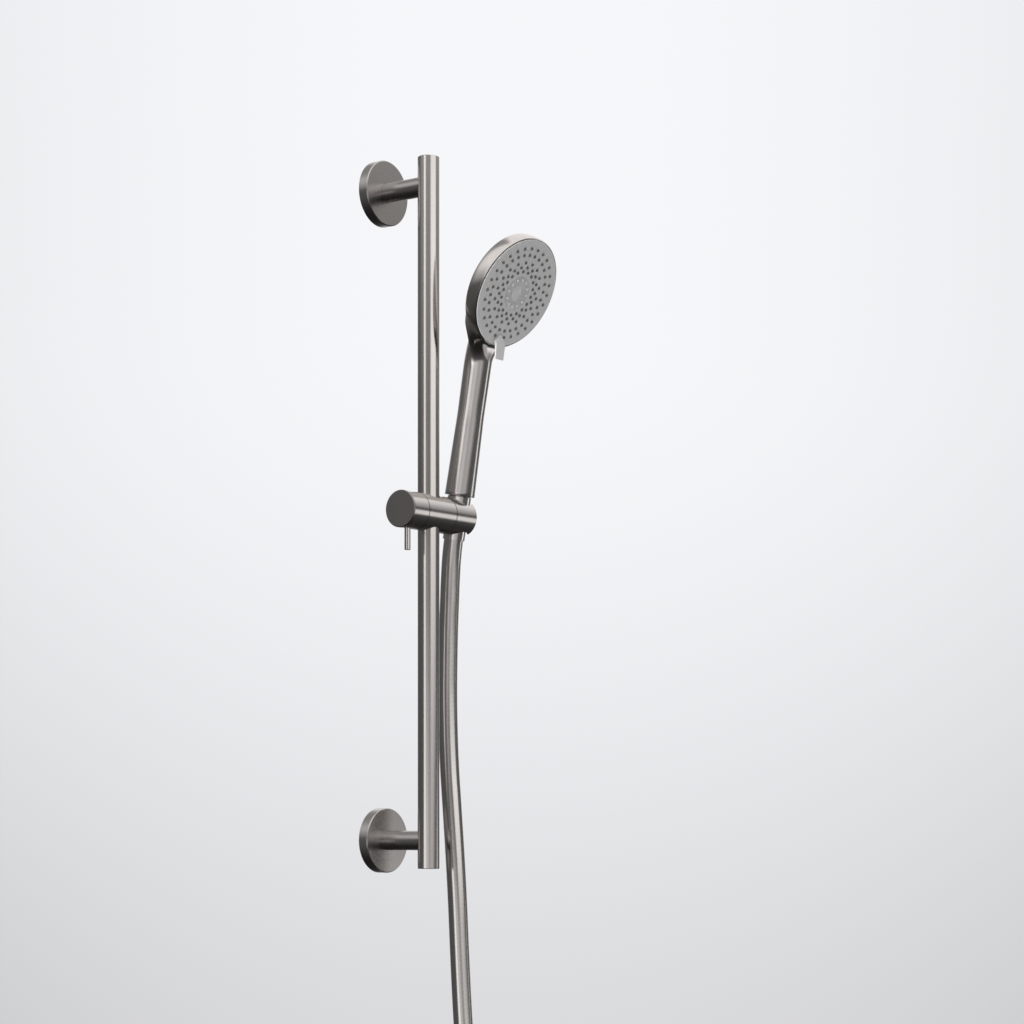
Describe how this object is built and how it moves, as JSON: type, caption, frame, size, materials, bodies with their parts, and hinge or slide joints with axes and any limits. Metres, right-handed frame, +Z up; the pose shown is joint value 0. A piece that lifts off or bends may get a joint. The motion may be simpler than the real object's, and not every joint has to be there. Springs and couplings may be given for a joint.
{
  "type": "hand shower with wall rail",
  "caption": "Wall rail with a sliding, tilting holder that carries a round hand shower with a spray selector tab, and a smooth hose stored in a hank.",
  "frame": {"origin": "middle of the four wall fixing holes, on the wall plane", "axes": "+X along the wall to the right, +Y into the wall, +Z up along the rail"},
  "size_m": [0.202, 0.1527, 1.206],
  "materials": {
    "brushed_gunmetal": "fine brushed gunmetal",
    "knob_end_gunmetal": "satin dark gunmetal",
    "gunmetal_plated_shell": "plated plastic, fine brushed gunmetal",
    "hose_sheath": "smooth metallic gunmetal PVC",
    "grey_faceplate": "satin",
    "pale_grey_tab": "satin",
    "pale_grey_cap": "smooth",
    "clear_insert": "translucent",
    "grey_silicone": "soft matte",
    "black_rubber": "matte",
    "black_nylon": "moulded",
    "white_nylon": "moulded",
    "brass_core": "machined",
    "screw_steel": "machined",
    "plate_steel": "stamped"
  },
  "bodies": {
    "rail_set": {"rail_tube": "brushed_gunmetal", "top_cap": "brushed_gunmetal", "bottom_cap": "brushed_gunmetal", "upper_insert": "brass_core", "lower_insert": "brass_core", "upper_arm": "brushed_gunmetal", "lower_arm": "brushed_gunmetal", "arm_screws": "screw_steel", "upper_wall_plate": "plate_steel", "lower_wall_plate": "plate_steel", "grub_screws": "screw_steel"},
    "upper_cover": {"upper_rosette": "brushed_gunmetal", "upper_rosette_ring": "black_rubber"},
    "lower_cover": {"lower_rosette": "brushed_gunmetal", "lower_rosette_ring": "black_rubber"},
    "slider": {"slider_body": "brushed_gunmetal", "rail_bush": "white_nylon", "knob_washer": "black_rubber", "friction_disc": "black_rubber", "pivot_screw": "screw_steel"},
    "brake": {"brake_pad": "black_rubber"},
    "lock": {"lock_knob": "brushed_gunmetal", "knob_cap": "knob_end_gunmetal", "lever_pin": "brushed_gunmetal", "clamp_spindle": "brass_core", "knob_screw": "screw_steel"},
    "holder_arm": {"holder": "brushed_gunmetal", "holder_liner": "black_nylon", "pivot_washer": "white_nylon"},
    "hose_end": {"hose_nipple": "brass_core", "swivel_ring": "white_nylon", "hose_washer": "black_rubber", "hose_neck": "hose_sheath"},
    "handset": {"handset_shell": "gunmetal_plated_shell", "cone_nut": "brushed_gunmetal", "threaded_insert": "brass_core", "filter_screen": "white_nylon", "flow_limiter": "white_nylon", "check_valve": "black_nylon", "waterway_tube": "white_nylon", "water_chamber": "white_nylon", "chamber_seal": "black_rubber", "detent_spring": "screw_steel", "detent_ball": "screw_steel"},
    "spray_face": {"diverter_disc": "white_nylon", "nozzle_mat": "grey_silicone", "faceplate": "grey_faceplate", "spray_insert": "clear_insert", "centre_cap": "pale_grey_cap", "centre_screw": "screw_steel", "selector_tab": "pale_grey_tab"},
    "hose": {"hose_tube": "hose_sheath", "hose_hank": "hose_sheath", "hank_tie": "black_rubber", "hose_tail": "hose_sheath", "end_ferrule": "brushed_gunmetal", "end_washer": "black_rubber"},
    "end_nut": {"end_nut": "brushed_gunmetal"}
  },
  "joints": [
    {"name": "slider_slide", "type": "slide", "parent": "rail_set", "child": "slider", "axis": [0, 0, 1], "range_m": [-0.26, 0.26]},
    {"name": "lock_turn", "type": "hinge", "parent": "slider", "child": "lock", "pos_m": [-0.03, -0.058, 0], "axis": [-1, 0, 0], "range_deg": [0, 90]},
    {"name": "brake_slide", "type": "slide", "parent": "slider", "child": "brake", "axis": [-1, 0, 0], "range_m": [0, 0.0005]},
    {"name": "holder_tilt", "type": "hinge", "parent": "slider", "child": "holder_arm", "pos_m": [0.035, -0.058, 0], "axis": [1, 0, 0], "range_deg": [-5, 30]},
    {"name": "handset_lift", "type": "slide", "parent": "holder_arm", "child": "hose_end", "axis": [0, -0.1736, 0.9848], "range_m": [0, 0.04]},
    {"name": "handset_turn", "type": "hinge", "parent": "hose_end", "child": "handset", "pos_m": [0.042, -0.058, 0], "axis": [0, -0.1736, 0.9848], "range_deg": [-20, 20]},
    {"name": "selector_turn", "type": "hinge", "parent": "handset", "child": "spray_face", "pos_m": [0.042, -0.12781, 0.19951], "axis": [0, -0.8788, -0.4772], "range_deg": [-40, 40]},
    {"name": "hose_swing", "type": "hinge", "parent": "hose_end", "child": "hose", "pos_m": [0.042, -0.0502, -0.064], "axis": [1, 0, 0], "range_deg": [-30, 5]},
    {"name": "end_nut_spin", "type": "hinge", "parent": "hose", "child": "end_nut", "pos_m": [0.042, -0.046, -0.66], "axis": [0, 0, 1], "continuous": true},
    {"name": "upper_cover_slide", "type": "slide", "parent": "rail_set", "child": "upper_cover", "axis": [0, -1, 0], "range_m": [0, 0.03]},
    {"name": "lower_cover_slide", "type": "slide", "parent": "rail_set", "child": "lower_cover", "axis": [0, -1, 0], "range_m": [0, 0.03]}
  ],
  "couplings": [
    {"joint": "hose_swing", "follows": "holder_tilt", "ratio": -1},
    {"joint": "brake_slide", "follows": "lock_turn", "m_per_rad": 0.000318}
  ]
}
